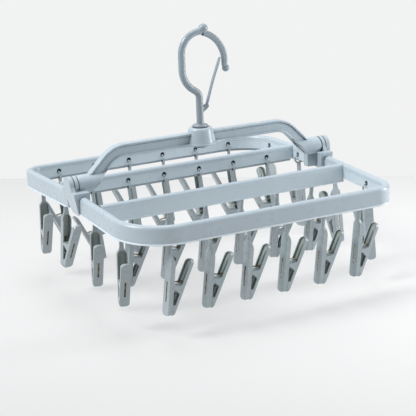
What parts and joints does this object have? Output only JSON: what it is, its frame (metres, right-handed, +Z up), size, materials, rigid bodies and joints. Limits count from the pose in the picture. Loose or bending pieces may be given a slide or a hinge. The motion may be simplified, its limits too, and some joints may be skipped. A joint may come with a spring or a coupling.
{
  "type": "clip drying hanger",
  "caption": "Folding clip drying hanger: rectangular two-half frame hinged under an arched handle with a swivel hook and sprung gate, with hanging pegs on all rails.",
  "frame": {"origin": "the rod seat: highest point inside the hook loop, where the hook rests on its rail", "axes": "+X along the hinge line of the two halves, +Z up, +Y to the rear half; Y is the depth"},
  "size_m": [0.362, 0.3472, 0.2961],
  "materials": {
    "frame": "satin moulded plastic, pale grey-blue",
    "handle": "satin moulded plastic, grey-blue",
    "clip": "satin moulded plastic, pale grey",
    "steel": "drawn spring wire, slightly tarnished"
  },
  "bodies": {
    "hook": {"hook": "handle", "hook_retainer": "clip"},
    "gate": {"hook_gate": "clip"},
    "handle": {"handle": "handle", "hinge_pin_left": "steel", "hinge_pin_right": "steel"},
    "front_half": {"front_frame": "frame"},
    "rear_half": {"rear_frame": "frame"},
    "clips_left_front": {"arms_left_front": "clip", "springs_left_front": "steel"},
    "clips_left_rear": {"arms_left_rear": "clip", "springs_left_rear": "steel"},
    "clips_right_front": {"arms_right_front": "clip", "springs_right_front": "steel"},
    "clips_right_rear": {"arms_right_rear": "clip", "springs_right_rear": "steel"},
    "clips_front_rail": {"arms_front_rail": "clip", "springs_front_rail": "steel"},
    "clips_front_bar": {"arms_front_bar": "clip", "springs_front_bar": "steel"},
    "clips_rear_bar": {"arms_rear_bar": "clip", "springs_rear_bar": "steel"},
    "clips_rear_rail": {"arms_rear_rail": "clip", "springs_rear_rail": "steel"},
    "lever_front_rail_1": {"lever_front_rail_1": "clip"},
    "lever_front_rail_2": {"lever_front_rail_2": "clip"},
    "lever_front_rail_3": {"lever_front_rail_3": "clip"},
    "lever_front_rail_4": {"lever_front_rail_4": "clip"},
    "lever_front_rail_5": {"lever_front_rail_5": "clip"},
    "lever_front_rail_6": {"lever_front_rail_6": "clip"},
    "lever_front_bar_1": {"lever_front_bar_1": "clip"},
    "lever_front_bar_2": {"lever_front_bar_2": "clip"},
    "lever_front_bar_3": {"lever_front_bar_3": "clip"},
    "lever_front_bar_4": {"lever_front_bar_4": "clip"},
    "lever_front_bar_5": {"lever_front_bar_5": "clip"},
    "lever_front_bar_6": {"lever_front_bar_6": "clip"},
    "lever_rear_bar_1": {"lever_rear_bar_1": "clip"},
    "lever_rear_bar_2": {"lever_rear_bar_2": "clip"},
    "lever_rear_bar_3": {"lever_rear_bar_3": "clip"},
    "lever_rear_bar_4": {"lever_rear_bar_4": "clip"},
    "lever_rear_bar_5": {"lever_rear_bar_5": "clip"},
    "lever_rear_bar_6": {"lever_rear_bar_6": "clip"},
    "lever_rear_rail_1": {"lever_rear_rail_1": "clip"},
    "lever_rear_rail_2": {"lever_rear_rail_2": "clip"},
    "lever_rear_rail_3": {"lever_rear_rail_3": "clip"},
    "lever_rear_rail_4": {"lever_rear_rail_4": "clip"},
    "lever_rear_rail_5": {"lever_rear_rail_5": "clip"},
    "lever_rear_rail_6": {"lever_rear_rail_6": "clip"},
    "lever_left_front_1": {"lever_left_front_1": "clip"},
    "lever_left_front_2": {"lever_left_front_2": "clip"},
    "lever_left_rear_1": {"lever_left_rear_1": "clip"},
    "lever_left_rear_2": {"lever_left_rear_2": "clip"},
    "lever_right_front_1": {"lever_right_front_1": "clip"},
    "lever_right_front_2": {"lever_right_front_2": "clip"},
    "lever_right_rear_1": {"lever_right_rear_1": "clip"},
    "lever_right_rear_2": {"lever_right_rear_2": "clip"}
  },
  "joints": [
    {"name": "fold_front", "type": "hinge", "parent": "handle", "child": "front_half", "pos_m": [-0.00396, 0, -0.1607], "axis": [-1, 0, 0], "range_deg": [0, 90]},
    {"name": "fold_rear", "type": "hinge", "parent": "handle", "child": "rear_half", "pos_m": [-0.00396, 0, -0.1607], "axis": [1, 0, 0], "range_deg": [0, 90]},
    {"name": "gate_flex", "type": "hinge", "parent": "hook", "child": "gate", "pos_m": [0.00544, 0, -0.0883], "axis": [0, -1, 0], "range_deg": [0, 20], "stiffness_Nm_per_rad": 0.3},
    {"name": "hook_swivel", "type": "hinge", "parent": "hook", "child": "handle", "pos_m": [-0.00396, 0, -0.1607], "axis": [0, 0, 1], "continuous": true},
    {"name": "sideswing_left_front", "type": "hinge", "parent": "front_half", "child": "clips_left_front", "pos_m": [-0.16986, -0.04369, -0.18754], "axis": [0, -0.9994, -0.0349], "range_deg": [-15, 15]},
    {"name": "sideswing_left_rear", "type": "hinge", "parent": "rear_half", "child": "clips_left_rear", "pos_m": [-0.16986, 0.04369, -0.18754], "axis": [0, 0.9994, -0.0349], "range_deg": [-15, 15]},
    {"name": "sideswing_right_front", "type": "hinge", "parent": "front_half", "child": "clips_right_front", "pos_m": [0.16194, -0.04369, -0.18754], "axis": [0, -0.9994, -0.0349], "range_deg": [-15, 15]},
    {"name": "sideswing_right_rear", "type": "hinge", "parent": "rear_half", "child": "clips_right_rear", "pos_m": [0.16194, 0.04369, -0.18754], "axis": [0, 0.9994, -0.0349], "range_deg": [-15, 15]},
    {"name": "swing_front_rail", "type": "hinge", "parent": "front_half", "child": "clips_front_rail", "pos_m": [-0.07896, -0.16442, -0.19176], "axis": [1, 0, 0], "range_deg": [0, 90]},
    {"name": "swing_front_bar", "type": "hinge", "parent": "front_half", "child": "clips_front_bar", "pos_m": [-0.07896, -0.05728, -0.18802], "axis": [1, 0, 0], "range_deg": [0, 90]},
    {"name": "swing_rear_bar", "type": "hinge", "parent": "rear_half", "child": "clips_rear_bar", "pos_m": [-0.07896, 0.05728, -0.18802], "axis": [-1, 0, 0], "range_deg": [0, 90]},
    {"name": "swing_rear_rail", "type": "hinge", "parent": "rear_half", "child": "clips_rear_rail", "pos_m": [-0.07896, 0.16442, -0.19176], "axis": [-1, 0, 0], "range_deg": [0, 90]},
    {"name": "squeeze_front_rail_1", "type": "hinge", "parent": "clips_front_rail", "child": "lever_front_rail_1", "pos_m": [-0.1304, -0.16349, -0.25042], "axis": [0.1219, -0.9925, 0], "range_deg": [0, 18], "stiffness_Nm_per_rad": 0.06, "springref_deg": -34.38, "deforming": ["springs_front_rail"]},
    {"name": "squeeze_front_rail_2", "type": "hinge", "parent": "clips_front_rail", "child": "lever_front_rail_2", "pos_m": [-0.08041, -0.16452, -0.25046], "axis": [0.0698, -0.9976, 0], "range_deg": [0, 18], "stiffness_Nm_per_rad": 0.06, "springref_deg": -34.38},
    {"name": "squeeze_front_rail_3", "type": "hinge", "parent": "clips_front_rail", "child": "lever_front_rail_3", "pos_m": [-0.03041, -0.16457, -0.25046], "axis": [0.1045, -0.9945, 0], "range_deg": [0, 18], "stiffness_Nm_per_rad": 0.06, "springref_deg": -34.38},
    {"name": "squeeze_front_rail_4", "type": "hinge", "parent": "clips_front_rail", "child": "lever_front_rail_4", "pos_m": [0.01959, -0.16454, -0.25046], "axis": [0.0872, -0.9962, 0], "range_deg": [0, 18], "stiffness_Nm_per_rad": 0.06, "springref_deg": -34.38},
    {"name": "squeeze_front_rail_5", "type": "hinge", "parent": "clips_front_rail", "child": "lever_front_rail_5", "pos_m": [0.06959, -0.16454, -0.25046], "axis": [0.0872, -0.9962, 0], "range_deg": [0, 18], "stiffness_Nm_per_rad": 0.06, "springref_deg": -34.38},
    {"name": "squeeze_front_rail_6", "type": "hinge", "parent": "clips_front_rail", "child": "lever_front_rail_6", "pos_m": [0.1196, -0.16462, -0.25046], "axis": [0.1392, -0.9903, 0], "range_deg": [0, 18], "stiffness_Nm_per_rad": 0.06, "springref_deg": -34.38},
    {"name": "squeeze_front_bar_1", "type": "hinge", "parent": "clips_front_bar", "child": "lever_front_bar_1", "pos_m": [-0.13041, -0.05736, -0.24672], "axis": [0.0523, -0.9986, 0], "range_deg": [0, 18], "stiffness_Nm_per_rad": 0.06, "springref_deg": -34.38, "deforming": ["springs_front_bar"]},
    {"name": "squeeze_front_bar_2", "type": "hinge", "parent": "clips_front_bar", "child": "lever_front_bar_2", "pos_m": [-0.08041, -0.05718, -0.24672], "axis": [-0.0698, -0.9976, 0], "range_deg": [0, 18], "stiffness_Nm_per_rad": 0.06, "springref_deg": -34.38},
    {"name": "squeeze_front_bar_3", "type": "hinge", "parent": "clips_front_bar", "child": "lever_front_bar_3", "pos_m": [-0.03041, -0.05741, -0.24672], "axis": [0.0872, -0.9962, 0], "range_deg": [0, 18], "stiffness_Nm_per_rad": 0.06, "springref_deg": -34.38},
    {"name": "squeeze_front_bar_4", "type": "hinge", "parent": "clips_front_bar", "child": "lever_front_bar_4", "pos_m": [0.01959, -0.05733, -0.24672], "axis": [0.0349, -0.9994, 0], "range_deg": [0, 18], "stiffness_Nm_per_rad": 0.06, "springref_deg": -34.38},
    {"name": "squeeze_front_bar_5", "type": "hinge", "parent": "clips_front_bar", "child": "lever_front_bar_5", "pos_m": [0.06959, -0.05721, -0.24672], "axis": [-0.0523, -0.9986, 0], "range_deg": [0, 18], "stiffness_Nm_per_rad": 0.06, "springref_deg": -34.38},
    {"name": "squeeze_front_bar_6", "type": "hinge", "parent": "clips_front_bar", "child": "lever_front_bar_6", "pos_m": [0.11959, -0.05738, -0.24672], "axis": [0.0698, -0.9976, 0], "range_deg": [0, 18], "stiffness_Nm_per_rad": 0.06, "springref_deg": -34.38},
    {"name": "squeeze_rear_bar_1", "type": "hinge", "parent": "clips_rear_bar", "child": "lever_rear_bar_1", "pos_m": [-0.12752, 0.05718, -0.24672], "axis": [0.0698, 0.9976, 0], "range_deg": [0, 18], "stiffness_Nm_per_rad": 0.06, "springref_deg": -34.38, "deforming": ["springs_rear_bar"]},
    {"name": "squeeze_rear_bar_2", "type": "hinge", "parent": "clips_rear_bar", "child": "lever_rear_bar_2", "pos_m": [-0.07752, 0.05736, -0.24672], "axis": [-0.0523, 0.9986, 0], "range_deg": [0, 18], "stiffness_Nm_per_rad": 0.06, "springref_deg": -34.38},
    {"name": "squeeze_rear_bar_3", "type": "hinge", "parent": "clips_rear_bar", "child": "lever_rear_bar_3", "pos_m": [-0.02752, 0.05723, -0.24672], "axis": [0.0349, 0.9994, 0], "range_deg": [0, 18], "stiffness_Nm_per_rad": 0.06, "springref_deg": -34.38},
    {"name": "squeeze_rear_bar_4", "type": "hinge", "parent": "clips_rear_bar", "child": "lever_rear_bar_4", "pos_m": [0.02248, 0.05741, -0.24672], "axis": [-0.0872, 0.9962, 0], "range_deg": [0, 18], "stiffness_Nm_per_rad": 0.06, "springref_deg": -34.38},
    {"name": "squeeze_rear_bar_5", "type": "hinge", "parent": "clips_rear_bar", "child": "lever_rear_bar_5", "pos_m": [0.07248, 0.05716, -0.24672], "axis": [0.0872, 0.9962, 0], "range_deg": [0, 18], "stiffness_Nm_per_rad": 0.06, "springref_deg": -34.38},
    {"name": "squeeze_rear_bar_6", "type": "hinge", "parent": "clips_rear_bar", "child": "lever_rear_bar_6", "pos_m": [0.12248, 0.05733, -0.24672], "axis": [-0.0349, 0.9994, 0], "range_deg": [0, 18], "stiffness_Nm_per_rad": 0.06, "springref_deg": -34.38},
    {"name": "squeeze_rear_rail_1", "type": "hinge", "parent": "clips_rear_rail", "child": "lever_rear_rail_1", "pos_m": [-0.12752, 0.16454, -0.25046], "axis": [-0.0872, 0.9962, 0], "range_deg": [0, 18], "stiffness_Nm_per_rad": 0.06, "springref_deg": -34.38, "deforming": ["springs_rear_rail"]},
    {"name": "squeeze_rear_rail_2", "type": "hinge", "parent": "clips_rear_rail", "child": "lever_rear_rail_2", "pos_m": [-0.07752, 0.16434, -0.25046], "axis": [0.0523, 0.9986, 0], "range_deg": [0, 18], "stiffness_Nm_per_rad": 0.06, "springref_deg": -34.38},
    {"name": "squeeze_rear_rail_3", "type": "hinge", "parent": "clips_rear_rail", "child": "lever_rear_rail_3", "pos_m": [-0.02752, 0.16452, -0.25046], "axis": [-0.0698, 0.9976, 0], "range_deg": [0, 18], "stiffness_Nm_per_rad": 0.06, "springref_deg": -34.38},
    {"name": "squeeze_rear_rail_4", "type": "hinge", "parent": "clips_rear_rail", "child": "lever_rear_rail_4", "pos_m": [0.02248, 0.16437, -0.25046], "axis": [0.0349, 0.9994, 0], "range_deg": [0, 18], "stiffness_Nm_per_rad": 0.06, "springref_deg": -34.38},
    {"name": "squeeze_rear_rail_5", "type": "hinge", "parent": "clips_rear_rail", "child": "lever_rear_rail_5", "pos_m": [0.07248, 0.16449, -0.25046], "axis": [-0.0523, 0.9986, 0], "range_deg": [0, 18], "stiffness_Nm_per_rad": 0.06, "springref_deg": -34.38},
    {"name": "squeeze_rear_rail_6", "type": "hinge", "parent": "clips_rear_rail", "child": "lever_rear_rail_6", "pos_m": [0.12248, 0.16319, -0.25042], "axis": [0.0872, 0.9962, 0], "range_deg": [0, 18], "stiffness_Nm_per_rad": 0.06, "springref_deg": -34.38},
    {"name": "squeeze_left_front_1", "type": "hinge", "parent": "clips_left_front", "child": "lever_left_front_1", "pos_m": [-0.16949, -0.04229, -0.24624], "axis": [-0.9659, 0.2588, 0], "range_deg": [0, 18], "stiffness_Nm_per_rad": 0.06, "springref_deg": -34.38, "deforming": ["springs_left_front"]},
    {"name": "squeeze_left_front_2", "type": "hinge", "parent": "clips_left_front", "child": "lever_left_front_2", "pos_m": [-0.16924, -0.11664, -0.24884], "axis": [-0.9659, 0.2588, 0], "range_deg": [0, 18], "stiffness_Nm_per_rad": 0.06, "springref_deg": -34.38},
    {"name": "squeeze_left_rear_1", "type": "hinge", "parent": "clips_left_rear", "child": "lever_left_rear_1", "pos_m": [-0.17009, 0.04512, -0.24624], "axis": [-0.9877, -0.1564, 0], "range_deg": [0, 18], "stiffness_Nm_per_rad": 0.06, "springref_deg": -34.38, "deforming": ["springs_left_rear"]},
    {"name": "squeeze_left_rear_2", "type": "hinge", "parent": "clips_left_rear", "child": "lever_left_rear_2", "pos_m": [-0.16961, 0.11947, -0.24884], "axis": [-0.9848, 0.1736, 0], "range_deg": [0, 18], "stiffness_Nm_per_rad": 0.06, "springref_deg": -34.38},
    {"name": "squeeze_right_front_1", "type": "hinge", "parent": "clips_right_front", "child": "lever_right_front_1", "pos_m": [0.16209, -0.04513, -0.24624], "axis": [0.9945, 0.1045, 0], "range_deg": [0, 18], "stiffness_Nm_per_rad": 0.06, "springref_deg": -34.38, "deforming": ["springs_right_front"]},
    {"name": "squeeze_right_front_2", "type": "hinge", "parent": "clips_right_front", "child": "lever_right_front_2", "pos_m": [0.16183, -0.11949, -0.24884], "axis": [0.9976, -0.0698, 0], "range_deg": [0, 18], "stiffness_Nm_per_rad": 0.06, "springref_deg": -34.38},
    {"name": "squeeze_right_rear_1", "type": "hinge", "parent": "clips_right_rear", "child": "lever_right_rear_1", "pos_m": [0.16181, 0.04225, -0.24624], "axis": [0.9962, -0.0872, 0], "range_deg": [0, 18], "stiffness_Nm_per_rad": 0.06, "springref_deg": -34.38, "deforming": ["springs_right_rear"]},
    {"name": "squeeze_right_rear_2", "type": "hinge", "parent": "clips_right_rear", "child": "lever_right_rear_2", "pos_m": [0.16186, 0.11661, -0.24884], "axis": [0.9925, 0.1219, 0], "range_deg": [0, 18], "stiffness_Nm_per_rad": 0.06, "springref_deg": -34.38}
  ],
  "couplings": [
    {"joint": "swing_front_rail", "follows": "fold_front", "ratio": 1},
    {"joint": "swing_front_bar", "follows": "fold_front", "ratio": 1},
    {"joint": "swing_rear_bar", "follows": "fold_rear", "ratio": 1},
    {"joint": "swing_rear_rail", "follows": "fold_rear", "ratio": 1}
  ]
}
